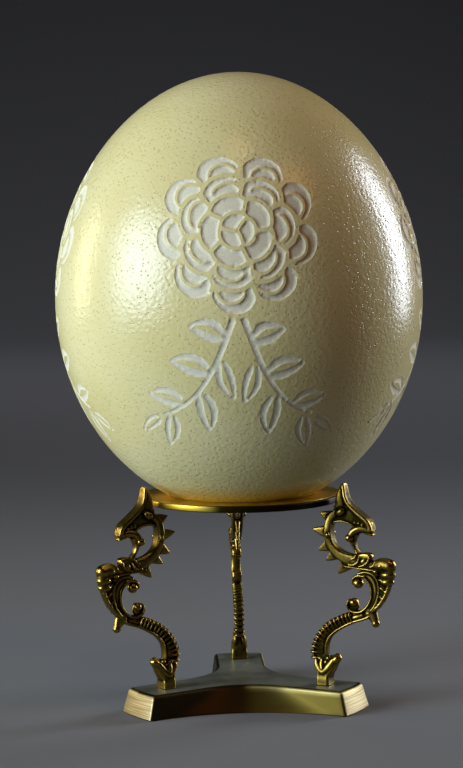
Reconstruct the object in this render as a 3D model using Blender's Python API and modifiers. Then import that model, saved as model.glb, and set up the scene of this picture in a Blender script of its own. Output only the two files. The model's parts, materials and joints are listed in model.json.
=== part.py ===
"""Ostrich egg standing upright in a three-legged brass stand.

Six solids: the egg, the flat ring it rests in, three identical scrolled legs and a three-cornered base.
The frame is +Z up, with the origin on the stand's axis at the underside of the base. The back leg points
along +Y, so the side between the two front legs faces -Y.

Every length below is in millimetres. MM turns it into Blender's metres.
"""

import math

import bmesh
import bpy
from mathutils import Matrix, Vector

MM = 0.001
GAP = 0.3  # clearance between touching pieces
WELD = 0.01 * MM  # points closer than this are one point

# Egg: turned about its long axis, a little fuller below its middle
EGG_LENGTH = 152.0
EGG_WIDTH = 127.0
EGG_BOTTOM_Z = 67.2
EGG_FULLNESS = 0.0207  # share of width moved towards the lower end
EGG_FLATTENING = 0.0213  # share of width taken off both ends
EGG_RINGS = 16
EGG_SEGMENTS = 32

# Ring: a flat band that the egg hangs through
RING_OUTER_R = 34.8
RING_TOP_Z = 73.5
RING_THICKNESS = 2.3
RING_RIM_ROUNDING = 0.4
RING_SEGMENTS = 32

# Base: three blunt arms with a hollow curve between each two, wider and less hollow at its foot
BASE_HEIGHT = 8.4
TOP_OUTLINE = (42.4, 8.75, 25.0)  # axis to an arm's end, half-width of the arm, radius of the hollow curve
FOOT_OUTLINE = (44.7, 9.8, 62.0)
HOLLOW_STEPS = 6
BASE_EDGE_ROUNDING = 1.1

# Legs stand over the cut corners of the base
LEG_ANGLES = {"leg_left": 210.0, "leg_right": 330.0, "leg_back": 90.0}

# Each stroke of a leg: how flat it is across the leg, then (distance from the axis, height, half-width) points
LEG_STROKES = {
    "seat": (1.1, [(40.6, 70.4, 1.7), (36.2, 69.1, 1.6)]),
    "neck": (0.9, [(39.4, 71.4, 2.3), (42.2, 69.6, 2.3), (45.8, 66.8, 2.2), (48.9, 64.3, 2.0)]),
    "snout": (1.0, [(48.6, 65.0, 1.6), (50.0, 62.7, 1.4)]),
    "curl": (1.5, [(49.6, 62.4, 1.2), (46.8, 62.9, 1.3), (44.2, 62.4, 1.2), (42.4, 60.4, 1.4)]),
    "link": (1.3, [(43.9, 62.0, 1.1), (43.2, 59.2, 0.9), (44.2, 56.6, 0.9), (45.8, 54.0, 1.1)]),
    "wing": (1.5, [(43.6, 53.2, 1.2), (46.8, 54.0, 1.4), (49.2, 54.2, 1.1)]),
    "body": (0.6, [
        (46.6, 51.2, 2.6), (50.8, 50.4, 3.2), (54.2, 49.8, 3.8), (54.7, 47.0, 4.1),
        (53.5, 43.4, 3.9), (52.2, 40.2, 3.3), (50.6, 37.4, 2.7), (48.2, 35.2, 1.9),
    ]),
    "web": (1.2, [(45.8, 48.7, 1.3), (50.2, 46.4, 1.6)]),
    "scroll": (1.4, [
        (42.9, 45.6, 1.3), (45.0, 47.2, 1.2), (47.8, 46.2, 1.3), (49.6, 43.4, 1.2), (49.6, 39.8, 1.2),
        (48.0, 36.8, 1.2), (45.2, 35.3, 1.1), (42.2, 35.6, 1.1), (41.0, 37.0, 1.0),
    ]),
    "fin": (1.0, [(49.6, 35.0, 1.7), (51.0, 32.4, 1.5), (51.4, 31.0, 1.1)]),
    "cuff": (1.1, [(32.2, 15.4, 2.5), (35.4, 17.0, 2.1), (38.0, 18.6, 1.2)]),
}
SPINE = [
    (42.6, 68.6, 2.6), (38.8, 67.9, 2.5), (35.6, 65.6, 2.3), (34.0, 62.0, 2.1), (34.2, 58.2, 2.0),
    (36.0, 55.0, 2.0), (39.2, 52.9, 2.0), (43.2, 52.2, 2.2), (47.4, 52.4, 2.5),
]
SPINE_FLATNESS = 0.9
TAIL = [
    (49.2, 34.8, 1.8), (45.2, 33.3, 1.8), (41.2, 31.4, 1.9), (37.0, 29.6, 2.4),
    (33.2, 26.8, 2.8), (30.8, 23.4, 3.1), (30.0, 19.8, 3.2), (30.8, 16.0, 2.9),
]
TAIL_HALF = 0.64  # half-width of each of the tail's two bars, as a share of the tail's own
TAIL_FLATNESS = 0.95
TAIL_RIBS = 11
RIB_HEIGHT = 0.45
RIBBED_SHARE = (0.24, 0.94)  # the part of the tail's length that carries ribs

# Spikes on the spine: (root distance, root height, tip distance, tip height, half-width at the root)
SPIKES = [
    (35.8, 66.4, 31.0, 67.9, 1.9),
    (34.4, 61.6, 27.3, 62.1, 2.7),
    (35.4, 57.6, 29.9, 55.2, 2.3),
    (37.2, 55.0, 32.8, 52.0, 1.8),
    (40.8, 52.2, 37.4, 47.5, 2.3),
]
SPIKE_TIP = 0.35
SPIKE_FLATNESS = 0.7

# Knobs: (distance, height, radial half-size, sideways half-size, vertical half-size)
KNOBS = {
    "shoulder": (56.0, 50.8, 2.6, 2.6, 2.9),
    "curl end": (42.0, 60.3, 1.7, 3.3, 1.7),
    "upper volute": (44.4, 44.6, 1.9, 2.3, 1.9),
    "lower volute": (42.8, 37.5, 2.1, 2.4, 2.1),
}
KNOB_SEGMENTS = 8
KNOB_RINGS = 6

# Clip: the tongue that stands against the outside of the ring, as a (distance, height) outline
CLIP_OUTLINE = [
    (35.6, 70.9), (41.9, 71.4), (41.8, 73.6), (41.2, 77.3), (39.3, 79.2), (38.4, 78.8), (35.6, 73.8),
]
CLIP_WIDTH = 5.0
CLIP_ROUNDING = 0.45

# Foot: the shank that stands on the base, a little flatter across the leg
FOOT_AXIS_R = 31.9
FOOT_FLATNESS = 0.87
FOOT_PROFILE = [(0.0, 17.6), (2.2, 17.1), (3.3, 15.4), (3.5, 12.0), (3.5, BASE_HEIGHT + GAP), (0.0, BASE_HEIGHT + GAP)]
FOOT_SEGMENTS = 12

SHELL_COLOUR = (0.80, 0.74, 0.46, 1.0)
BRASS_COLOUR = (0.72, 0.52, 0.16, 1.0)


def clear_scene():
    for obj in list(bpy.data.objects):
        bpy.data.objects.remove(obj)


def collection(name):
    made = bpy.data.collections.new(name)
    bpy.context.scene.collection.children.link(made)
    return made


def material(name, colour, roughness, metallic):
    made = bpy.data.materials.new(name)
    made.use_nodes = True
    shader = made.node_tree.nodes["Principled BSDF"]
    shader.inputs["Base Color"].default_value = colour
    shader.inputs["Roughness"].default_value = roughness
    shader.inputs["Metallic"].default_value = metallic
    return made


def new_object(name, data, group):
    obj = bpy.data.objects.new(name, data)
    group.objects.link(obj)
    return obj


def mesh_from(shape, name):
    """A mesh from a bmesh, with its faces turned outwards."""
    bmesh.ops.recalc_face_normals(shape, faces=shape.faces)
    mesh = bpy.data.meshes.new(name)
    shape.to_mesh(mesh)
    shape.free()
    return mesh


def evaluated_mesh(obj, weld=0.0):
    """The object's mesh with its modifiers in it, its loose ends welded and its place applied."""
    bpy.context.view_layer.update()
    graph = bpy.context.evaluated_depsgraph_get()
    made = bpy.data.meshes.new_from_object(obj.evaluated_get(graph))
    shape = bmesh.new()
    shape.from_mesh(made)
    bpy.data.meshes.remove(made)
    if weld:
        bmesh.ops.remove_doubles(shape, verts=shape.verts, dist=weld)
    bmesh.ops.transform(shape, matrix=obj.matrix_world, verts=shape.verts)
    return mesh_from(shape, obj.name)


def solid_from(guide, group):
    """Replaces a curve, or an object with modifiers, by a plain mesh object of the same name."""
    name = guide.name
    mesh = evaluated_mesh(guide, weld=WELD)
    bpy.data.objects.remove(guide)
    return new_object(name, mesh, group)


def smooth(obj, sharp_angle=35.0):
    obj.data.shade_smooth()
    obj.data.set_sharp_from_angle(angle=math.radians(sharp_angle))


def turned(name, profile, segments, group, closed=False):
    """A solid of revolution about Z from (radius, height) points that run down its outer side."""
    count = len(profile)
    edges = [(i, (i + 1) % count) for i in range(count if closed else count - 1)]
    mesh = bpy.data.meshes.new(name)
    mesh.from_pydata([(radius * MM, 0.0, height * MM) for radius, height in profile], edges, [])
    obj = new_object(name, mesh, group)
    screw = obj.modifiers.new("turn", "SCREW")
    screw.steps = segments
    screw.render_steps = segments
    screw.use_merge_vertices = True
    screw.merge_threshold = WELD
    return obj


def egg_radius(height):
    """The egg's half-width at a height: an ellipse, times a gentle quadratic along the axis."""
    along = 1.0 - 2.0 * (height - EGG_BOTTOM_Z) / EGG_LENGTH  # +1 at the lower end, -1 at the upper end
    across = math.sqrt(max(0.0, 1.0 - along * along))
    return 0.5 * EGG_WIDTH * across * (1.0 + EGG_FULLNESS * along - EGG_FLATTENING * along * along)


def make_egg(group):
    profile = []
    for i in range(EGG_RINGS + 1):
        height = EGG_BOTTOM_Z + 0.5 * EGG_LENGTH * (1.0 + math.cos(math.pi * i / EGG_RINGS))
        profile.append((egg_radius(height), height))
    return turned("egg", profile, EGG_SEGMENTS, group)


def make_ring(group):
    """A closed section: rounded outer rim, and a bore that just clears the egg at the ring's top."""
    bore = egg_radius(RING_TOP_Z) + GAP
    bottom = RING_TOP_Z - RING_THICKNESS
    edge = RING_RIM_ROUNDING
    profile = [
        (bore, RING_TOP_Z),
        (RING_OUTER_R - edge, RING_TOP_Z),
        (RING_OUTER_R, RING_TOP_Z - edge),
        (RING_OUTER_R, bottom + edge),
        (RING_OUTER_R - edge, bottom),
        (bore, bottom),
    ]
    return turned("ring", profile, RING_SEGMENTS, group, closed=True)


def base_outline(reach, half_width, hollow_radius):
    """Three straight-sided arms, each pair joined by an arc that touches the side of both."""
    half_sweep = math.radians(30.0)  # the sides of neighbouring arms meet at 120 degrees
    centre_distance = (half_width + hollow_radius) / math.cos(half_sweep)
    points = []
    for arm in range(3):
        turn = Matrix.Rotation(math.radians(120.0 * arm), 3, "Z")
        outward = turn @ Vector((0.0, 1.0, 0.0))
        leftward = turn @ Vector((-1.0, 0.0, 0.0))
        points += [outward * reach - leftward * half_width, outward * reach + leftward * half_width]
        away = outward * math.sin(half_sweep) + leftward * math.cos(half_sweep)
        across = leftward * math.sin(half_sweep) - outward * math.cos(half_sweep)
        for i in range(HOLLOW_STEPS + 1):
            angle = half_sweep * (2.0 * i / HOLLOW_STEPS - 1.0)
            inward = across * math.sin(angle) - away * math.cos(angle)
            points.append(away * centre_distance + inward * hollow_radius)
    return points


def make_base(group):
    """The foot's outline and the top's, filled and joined point by point, with the edges rounded."""
    shape = bmesh.new()
    foot = [shape.verts.new(point * MM) for point in base_outline(*FOOT_OUTLINE)]
    rise = Vector((0.0, 0.0, BASE_HEIGHT * MM))
    top = [shape.verts.new(point * MM + rise) for point in base_outline(*TOP_OUTLINE)]
    shape.faces.new(foot)
    shape.faces.new(top)
    for i in range(len(foot)):
        shape.faces.new([foot[i - 1], foot[i], top[i], top[i - 1]])
    obj = new_object("base", mesh_from(shape, "base"), group)
    bevel = obj.modifiers.new("rounded edges", "BEVEL")
    bevel.width = BASE_EDGE_ROUNDING * MM
    bevel.segments = 2
    bevel.limit_method = "ANGLE"
    bevel.angle_limit = math.radians(40.0)
    return obj


def stroke(name, points, flatness, group, resolution=2):
    """A round bar through (distance, height, half-width) points in the leg's plane, squeezed sideways."""
    curve = bpy.data.curves.new(name, "CURVE")
    curve.dimensions = "3D"
    curve.bevel_depth = MM
    curve.bevel_resolution = 1
    curve.resolution_u = resolution
    curve.use_fill_caps = True
    spline = curve.splines.new("BEZIER")
    spline.bezier_points.add(len(points) - 1)
    for point, (distance, height, half_width) in zip(spline.bezier_points, points):
        point.co = (distance * MM, 0.0, height * MM)
        point.radius = half_width
        point.handle_left_type = "AUTO"
        point.handle_right_type = "AUTO"
    guide = new_object(name, curve, group)
    guide.scale.y = flatness
    return solid_from(guide, group)


def beside(points, side):
    """One half of a stroke, split along its length: side is +1 on the left of its direction, -1 on the right."""
    made = []
    for i, (distance, height, half_width) in enumerate(points):
        before = Vector(points[max(i - 1, 0)])
        after = Vector(points[min(i + 1, len(points) - 1)])
        heading = (after - before).to_2d().normalized()
        shift = side * (1.0 - TAIL_HALF) * half_width
        made.append((distance - heading.y * shift, height + heading.x * shift, half_width * TAIL_HALF))
    return made


def ribbed(points):
    """A stroke's points, closer together, with every second one swollen into a rib along the ribbed share."""
    first, last = RIBBED_SHARE
    steps = 2 * TAIL_RIBS
    made = [points[0]]
    for i in range(steps + 1):
        place = (first + (last - first) * i / steps) * (len(points) - 1)
        index = min(int(place), len(points) - 2)
        here = Vector(points[index]).lerp(Vector(points[index + 1]), place - index)
        made.append((here.x, here.y, here.z + RIB_HEIGHT * (i % 2)))
    made.append(points[-1])
    return made


def knob(name, size, group):
    """A ball stretched to its own half-size along each direction."""
    distance, height, radial, sideways, vertical = size
    shape = bmesh.new()
    bmesh.ops.create_uvsphere(shape, u_segments=KNOB_SEGMENTS, v_segments=KNOB_RINGS, radius=MM)
    place = Matrix.Translation((distance * MM, 0.0, height * MM))
    stretch = Matrix.Diagonal((radial, sideways, vertical, 1.0))
    bmesh.ops.transform(shape, matrix=place @ stretch, verts=shape.verts)
    return new_object(name, mesh_from(shape, name), group)


def make_clip(group):
    """The tongue: its side outline, filled, thickened across the leg and softened along its edges."""
    curve = bpy.data.curves.new("clip", "CURVE")
    curve.dimensions = "2D"
    curve.fill_mode = "BOTH"
    curve.extrude = (0.5 * CLIP_WIDTH - CLIP_ROUNDING) * MM
    curve.bevel_depth = CLIP_ROUNDING * MM
    curve.bevel_resolution = 0
    curve.offset = -CLIP_ROUNDING * MM
    spline = curve.splines.new("POLY")
    spline.points.add(len(CLIP_OUTLINE) - 1)
    for point, (distance, height) in zip(spline.points, CLIP_OUTLINE):
        point.co = (distance * MM, height * MM, 0.0, 1.0)
    spline.use_cyclic_u = True
    guide = new_object("clip", curve, group)
    guide.rotation_euler.x = math.radians(90.0)
    return solid_from(guide, group)


def make_foot(group):
    guide = turned("foot", FOOT_PROFILE, FOOT_SEGMENTS, group)
    guide.location.x = FOOT_AXIS_R * MM
    guide.scale.y = FOOT_FLATNESS
    return solid_from(guide, group)


def make_leg_mesh():
    """One leg in the XZ plane: all its strokes, spikes and knobs joined into a single casting."""
    group = collection("leg strokes")
    leg = stroke("spine", SPINE, SPINE_FLATNESS, group)
    added = [stroke(name, points, flatness, group) for name, (flatness, points) in LEG_STROKES.items()]
    added.append(stroke("tail", beside(TAIL, 1), TAIL_FLATNESS, group))
    added.append(stroke("ribbed tail", ribbed(beside(TAIL, -1)), TAIL_FLATNESS, group, resolution=1))
    for root_r, root_z, tip_r, tip_z, half_width in SPIKES:
        points = [(root_r, root_z, half_width), (tip_r, tip_z, SPIKE_TIP)]
        added.append(stroke("spike", points, SPIKE_FLATNESS, group, resolution=1))
    added += [knob(name, size, group) for name, size in KNOBS.items()]
    added += [make_clip(group), make_foot(group)]
    for obj in added:
        join = leg.modifiers.new("join", "BOOLEAN")
        join.operation = "UNION"
        join.object = obj
    mesh = evaluated_mesh(leg)
    for obj in [leg, *added]:
        bpy.data.objects.remove(obj)
    bpy.data.collections.remove(group)
    return mesh


def main():
    clear_scene()
    group = collection("ostrich egg on stand")
    shell = material("shell", SHELL_COLOUR, 0.3, 0.0)
    brass = material("brass", BRASS_COLOUR, 0.25, 1.0)

    make_egg(group)
    make_ring(group)
    make_base(group)
    leg_mesh = make_leg_mesh()
    for name, angle in LEG_ANGLES.items():
        leg = new_object(name, leg_mesh, group)
        leg.rotation_euler.z = math.radians(angle)

    for obj in group.objects:
        obj.data.materials.clear()
        obj.data.materials.append(shell if obj.name == "egg" else brass)
        smooth(obj)


main()
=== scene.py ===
# %% [markdown]
# # Ostrich egg in a three-legged brass stand
# The real object is a whole ostrich egg with a shallow frosted carving, standing upright in a flat brass
# ring on three scrolled cast legs and a three-armed brass plate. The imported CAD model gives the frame, with
# +Z up and the origin under the middle of the plate, and the main sizes are read from it. Places are
# written in millimetres and become Blender's metres when a mesh is made.

import json
import math
from collections import namedtuple

import bpy
import numpy as np
from mathutils import Euler, Matrix, Vector

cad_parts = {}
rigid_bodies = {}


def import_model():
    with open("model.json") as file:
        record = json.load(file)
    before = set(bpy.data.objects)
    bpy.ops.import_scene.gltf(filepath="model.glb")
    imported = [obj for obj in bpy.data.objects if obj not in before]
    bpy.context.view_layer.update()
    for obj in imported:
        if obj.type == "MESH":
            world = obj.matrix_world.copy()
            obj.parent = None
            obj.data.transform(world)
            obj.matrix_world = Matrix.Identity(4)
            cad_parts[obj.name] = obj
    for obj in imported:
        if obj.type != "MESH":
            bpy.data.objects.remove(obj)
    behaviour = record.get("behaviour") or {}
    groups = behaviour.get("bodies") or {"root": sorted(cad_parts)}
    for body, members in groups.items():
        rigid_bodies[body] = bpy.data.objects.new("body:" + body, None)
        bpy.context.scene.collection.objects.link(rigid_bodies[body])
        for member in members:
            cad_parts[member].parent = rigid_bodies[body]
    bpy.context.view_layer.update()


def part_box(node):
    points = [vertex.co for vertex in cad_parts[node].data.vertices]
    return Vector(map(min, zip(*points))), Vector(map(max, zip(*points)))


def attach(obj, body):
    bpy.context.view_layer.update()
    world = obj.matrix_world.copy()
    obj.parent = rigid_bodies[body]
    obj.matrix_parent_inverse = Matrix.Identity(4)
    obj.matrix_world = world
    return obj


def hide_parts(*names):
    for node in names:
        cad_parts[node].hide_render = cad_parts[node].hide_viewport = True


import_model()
MM = 0.001


def cad_span(node, axis):
    """Lowest and highest place of a CAD node along an axis (0, 1 or 2), in mm to the nearest tenth."""
    return [round(corner[axis] / MM, 1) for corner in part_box(node)]


# %% [markdown]
# ## Tools of the workshop
# Colours are read as hex values from a colour picker, which are in sRGB, and Blender's shaders want linear
# light, so one function converts them. Another adds a shader node with its settings and links. The rest
# turn arrays of points and faces into a finished piece that rides on the stand's one rigid body.

# %% Colours and shader nodes
# A Mix node has two inputs and an output for each kind of data, and only their numbers tell them apart.
NUMBER_A, NUMBER_B, VECTOR_A, VECTOR_B, COLOUR_A, COLOUR_B = 2, 3, 4, 5, 6, 7
COLOURS = {"data_type": "RGBA", "out": 2}
VECTORS = {"data_type": "VECTOR", "out": 1}
SMOOTH = {"interpolation_type": "SMOOTHSTEP"}


def linear(hex_colour):
    """sRGB to linear: c / 12.92 below 0.04045, else ((c + 0.055) / 1.055) to the power 2.4."""
    values = np.array([int(hex_colour[i : i + 2], 16) / 255.0 for i in (1, 3, 5)])
    curve = np.where(values <= 0.04045, values / 12.92, ((values + 0.055) / 1.055) ** 2.4)
    return (*curve.tolist(), 1.0)


def add(material, kind, inputs=None, stops=None, out=0, **settings):
    """Adds a node and returns one of its outputs, the first unless another is named.

    An input is a value or another node's output; stops are a colour ramp's (place, colour) pairs.
    """
    node = material.node_tree.nodes.new("ShaderNode" + kind)
    for name, value in settings.items():
        setattr(node, name, value)
    for key, value in (inputs or {}).items():
        if isinstance(value, bpy.types.NodeSocket):
            material.node_tree.links.new(value, node.inputs[key])
        else:
            node.inputs[key].default_value = value
    for i, (place, hex_colour) in enumerate(stops or []):
        node.color_ramp.elements[i].position = place
        node.color_ramp.elements[i].color = linear(hex_colour)
    return node.outputs[out] if node.outputs else None


def new_material(name):
    material = bpy.data.materials.new(name)
    material.use_nodes = True
    material.node_tree.nodes.clear()
    return material


# %% Pieces from arrays
def new_mesh(name, points, faces, attributes=None):
    """A mesh from arrays: points in mm, faces as rows of indices, a number a point for each attribute."""
    mesh = bpy.data.meshes.new(name)
    mesh.from_pydata((np.asarray(points) * MM).tolist(), [], [list(map(int, face)) for face in faces])
    for key, values in (attributes or {}).items():
        layer = mesh.attributes.new(key, "FLOAT", "POINT")
        layer.data.foreach_set("value", np.asarray(values, dtype=np.float32))
    mesh.shade_smooth()
    mesh.update()
    return mesh


def new_object(name, data):
    """An object made of a mesh, light or camera, linked to the scene."""
    made = bpy.data.objects.new(name, data)
    bpy.context.scene.collection.objects.link(made)
    return made


def new_piece(name, mesh, material, replaced):
    piece = new_object(name, mesh)
    mesh.materials.append(material)
    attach(piece, "root")
    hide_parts(replaced)
    print(f"{name}: {len(mesh.vertices)} points, {len(mesh.polygons)} faces")


def edge_ends(mesh):
    """The numbers of the two points of every edge."""
    ends = np.empty(len(mesh.edges) * 2, dtype=np.int64)
    mesh.edges.foreach_get("vertices", ends)
    return ends.reshape(-1, 2)


# %% Faces of a grid
def grid_faces(rows, columns, closed_rows=False):
    """Quads of a grid whose columns wrap round; with closed_rows its rows wrap round too."""
    row = np.arange(rows if closed_rows else rows - 1)[:, None]
    column = np.arange(columns)[None, :]
    after = (column + 1) % columns
    below = (row + 1) % rows
    quads = [row * columns + column, row * columns + after, below * columns + after, below * columns + column]
    return np.stack([np.broadcast_to(part, (len(row), columns)) for part in quads], axis=-1).reshape(-1, 4)


def closing_fans(rows, columns):
    """Triangles that close a grid: first row to the point after the grid, last row to the next point."""
    ring = np.arange(columns)
    after = (ring + 1) % columns
    last = (rows - 1) * columns
    low = np.stack([np.full(columns, rows * columns), after, ring], axis=-1)
    high = np.stack([np.full(columns, rows * columns + 1), last + ring, last + after], axis=-1)
    return low, high


# %% [markdown]
# ## Camera
# The camera was solved from the photo: the egg's outline, the ring's ellipse and the corners of the plate
# give a place about 0.8 m in front, a little above the egg's middle, looking slightly down.

# %% Camera
FRAME_HEIGHT_PX = 768
FOCAL_PX = 2309.34
SENSOR_SIZE = 36.0
CAMERA_PLACE = (-38.08, -799.09, 180.03)
# tilt up from straight down, roll, and turn to the left, in degrees
CAMERA_TURN = (85.111, 0.7577, -2.5816)

camera_data = bpy.data.cameras.new("photo camera")
camera_data.sensor_fit = "AUTO"
camera_data.sensor_width = SENSOR_SIZE
camera_data.lens = FOCAL_PX * SENSOR_SIZE / FRAME_HEIGHT_PX
camera_data.clip_start = 0.05
camera = new_object("photo camera", camera_data)
turn = Euler([math.radians(angle) for angle in CAMERA_TURN]).to_matrix().to_4x4()
camera.matrix_world = Matrix.Translation([value * MM for value in CAMERA_PLACE]) @ turn
bpy.context.scene.camera = camera
print("lens:", round(camera_data.lens, 2), "mm")

# %% [markdown]
# ## Floor and backdrop
# A photographer stands such a thing on a sheet of matt paper that curves up behind it, so that no horizon
# shows. A flat plane would end in a line, so the sheet is a profile (flat, quarter circle, upright) carried
# sideways. It curves up far behind the stand, so that the egg can be looked at from behind as well.

# %% Paper sweep
def paper_sweep(front, back, bend, height, half_width):
    """Profile: flat from front to back, a quarter circle of radius bend, then straight up to the height."""
    angle = np.linspace(0.0, math.pi / 2.0, 25)
    depth = np.concatenate([[front], back + bend * np.sin(angle), [back + bend]])
    level = np.concatenate([[0.0], bend * (1.0 - np.cos(angle)), [height]])
    points = np.array([[[side, y, z] for side in (-half_width, half_width)] for y, z in zip(depth, level)])
    start = np.arange(len(depth) - 1)[:, None] * 2
    return points.reshape(-1, 3), start + np.array([0, 1, 3, 2])


# Dull grey paper: soft shadows and no shine
paper = new_material("matt paper")
paper_look = {"Base Color": linear("#7A7A7B"), "Roughness": 0.9, "Specular IOR Level": 0.2}
add(paper, "OutputMaterial", {"Surface": add(paper, "BsdfPrincipled", paper_look)})
sheet = paper_sweep(front=-9000.0, back=1900.0, bend=700.0, height=4000.0, half_width=9000.0)
sweep_mesh = new_mesh("paper sweep", *sheet)
sweep_mesh.materials.append(paper)
sweep = new_object("paper_sweep", sweep_mesh)
print("paper sweep:", len(sweep_mesh.polygons), "faces")

# %% [markdown]
# ## Light
# Soft studio light: a large soft box at the left gives the broad pale highlight on the shell, a tall one at
# the right, a little behind, gives the bright window-like edge, and a narrow one at the left rear gives the
# thin left edge. A weak amber lamp high at the front right warms the shaded side, a warm ceiling lamp
# lights the crown, and a wide wash from above lights the paper behind. The surroundings stay dark, because
# brass shows what stands round it.

# %% Lights
EGG_MIDDLE = (0.0, 0.0, 0.14)
PAPER_BEHIND = (0.0, 1.55, 0.0)
# name, azimuth from +X about +Z, elevation, distance, width, height, watts, colour and spread, in metres
# and degrees, and where it aims if not at the egg's middle
SOFT_BOXES = [
    ("key soft box", 203.0, 13.0, 1.3, 0.95, 0.90, 4.5, "#DCEEFF", 60.0),
    ("right window", 27.0, 13.0, 1.2, 0.34, 0.9, 2.0, "#EAF3FF", 65.0),
    ("left edge strip", 156.0, 8.0, 1.3, 0.22, 0.6, 0.45, "#FFF2C8", 65.0),
    ("amber fill", 320.0, 48.0, 1.5, 0.4, 0.4, 0.12, "#FFA23C", 45.0),
    ("ceiling lamp", 268.0, 71.0, 2.4, 0.26, 0.26, 0.26, "#FFC27A", 60.0),
    ("backdrop wash", 268.0, 72.0, 1.5, 1.2, 0.5, 2.9, "#F2F4FF", 108.0, PAPER_BEHIND),
]


def soft_box(name, azimuth, elevation, distance, width, height, power, colour, spread, aim=EGG_MIDDLE):
    """A rectangular light that faces its aim from an azimuth, an elevation and a distance."""
    data = bpy.data.lights.new(name, "AREA")
    data.shape = "RECTANGLE"
    data.size = width
    data.size_y = height
    data.energy = power
    data.spread = math.radians(spread)
    data.color = linear(colour)[:3]
    light = new_object(name, data)
    a, e = math.radians(azimuth), math.radians(elevation)
    away = Vector((math.cos(a) * math.cos(e), math.sin(a) * math.cos(e), math.sin(e)))
    light.location = Vector(aim) + away * distance
    light.rotation_euler = away.to_track_quat("Z", "Y").to_euler()
    print(name, "at", [round(value, 2) for value in light.location])


for settings in SOFT_BOXES:
    soft_box(*settings)

world = bpy.data.worlds.new("dim studio")
world.use_nodes = True
dim = world.node_tree.nodes["Background"].inputs
dim["Color"].default_value = linear("#8E8468")
dim["Strength"].default_value = 0.02
bpy.context.scene.world = world
bpy.context.scene.view_settings.view_transform = "Standard"

# %% [markdown]
# ## Egg: the shape
# An ostrich egg is nearly an ellipsoid, a little fuller towards its lower end. Its half-width at a height
# is an ellipse times a gentle quadratic, the same as in the CAD model. A sphere that is scaled and pushed
# could come close, but the carving needs points where its edges run, so the surface is a grid of columns
# (angle round the egg) and rows (length along the meridian), drawn closer together where the carving is.

# %% Egg profile
EGG_BOTTOM, EGG_TOP = cad_span("egg", 2)
EGG_LENGTH = round(EGG_TOP - EGG_BOTTOM, 1)
EGG_WIDTH = 2.0 * cad_span("egg", 0)[1]
EGG_FULLNESS = 0.0207
EGG_FLATTENING = 0.0213


def egg_radius(height):
    """Half-width: (w / 2) sqrt(1 - t^2) (1 + fullness t - flattening t^2), with t = 1 at the lower end."""
    t = np.clip(1.0 - 2.0 * (np.asarray(height) - EGG_BOTTOM) / EGG_LENGTH, -1.0, 1.0)
    return 0.5 * EGG_WIDTH * np.sqrt(1.0 - t * t) * (1.0 + EGG_FULLNESS * t - EGG_FLATTENING * t * t)


bend_angle = np.linspace(0.0, math.pi, 4001)
profile_height = EGG_BOTTOM + 0.5 * EGG_LENGTH * (1.0 - np.cos(bend_angle))
profile_radius = egg_radius(profile_height)
steps = np.hypot(np.diff(profile_height), np.diff(profile_radius))
profile_length = np.concatenate([[0.0], np.cumsum(steps)])
meridian = float(profile_length[-1])


def on_meridian(length):
    """Radius and height at a length along the meridian, from the lower pole."""
    return [np.interp(length, profile_length, profile) for profile in (profile_radius, profile_height)]


print("egg:", EGG_LENGTH, "x", EGG_WIDTH, "mm; meridian:", round(meridian, 1), "mm")

# %% [markdown]
# ## Egg: the carving
# Where the design is white, the shell is ground back by nearly half a millimetre in the flower and less in
# the sprigs, and its lines are left standing. An image could hold the design, but a formula stays crisp at
# any size. It is drawn in flattened coordinates (x round the egg, y up the meridian, in mm from the middle
# of the flower): each shape returns how far a point lies inside the cut, so shapes join by taking the
# larger value, and lines are left standing by taking the smaller one.

# %% Flower of overlapping scalloped rings
FAR_OUTSIDE = -50.0
LOBE_POWER = 2.4
FOLDED_FROM = 12.0
FOLD_HALF_WIDTH = 0.42
FOLD_END = 0.55

PetalRing = namedtuple("PetalRing", "petals outer lobe turn spiral line")
# petals, outer radius, depth of the scallops, turn and spiral in degrees, width of the line left standing
PETAL_RINGS = [
    PetalRing(9, 27.0, 0.20, 8.0, 8.0, 1.35),
    PetalRing(7, 19.0, 0.17, 30.0, -10.0, 1.30),
    PetalRing(5, 11.8, 0.15, 4.0, 12.0, 1.20),
    PetalRing(3, 5.6, 0.12, 50.0, -16.0, 1.00),
]


def petal_ring(rho, angle, ring):
    """Depth inside the rim R(u) = outer (1 - lobe |u|^2.4), and u itself, from -1 to 1 across each petal."""
    curl = np.radians(ring.spiral) * (rho / ring.outer - 1.0)
    u = 2.0 * np.mod(ring.petals * (angle - math.radians(ring.turn) - curl) / math.tau, 1.0) - 1.0
    rim = ring.outer * (1.0 - ring.lobe * np.abs(u) ** LOBE_POWER)
    slope = ring.outer * ring.lobe * LOBE_POWER * np.abs(u) ** (LOBE_POWER - 1.0)
    slope = slope * ring.petals / math.pi / rho
    return (rim - rho) / np.sqrt(1.0 + slope**2), u


def rosette(x, y):
    """Each ring less the next one, lines between petals and folds in the wide rings; and how far outside."""
    rho = np.hypot(x, y) + 1e-6
    angle = np.arctan2(y, x)
    depths, across = zip(*(petal_ring(rho, angle, ring) for ring in PETAL_RINGS))
    cut = np.full_like(rho, FAR_OUTSIDE)
    for i, ring in enumerate(PETAL_RINGS):
        inside, u = depths[i], across[i]
        if i + 1 < len(PETAL_RINGS):
            inside = np.minimum(inside, -depths[i + 1] - PETAL_RINGS[i + 1].line)
        between = rho * (1.0 - np.abs(u)) * math.pi / ring.petals - 0.5 * ring.line
        inside = np.minimum(inside, between)
        if ring.outer > FOLDED_FROM:
            fold = 0.13 * ring.outer * (1.0 + 0.55 * u)
            crease = np.abs(depths[i] - fold) - FOLD_HALF_WIDTH
            crease = np.where(u > FOLD_END, np.maximum(crease, (u - FOLD_END) * 8.0), crease)
            inside = np.minimum(inside, crease)
        cut = np.maximum(cut, inside)
    return cut, -depths[0]


# %% Leaves and stems
TEETH = 5.0
TOOTH_DEPTH = 0.12


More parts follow.
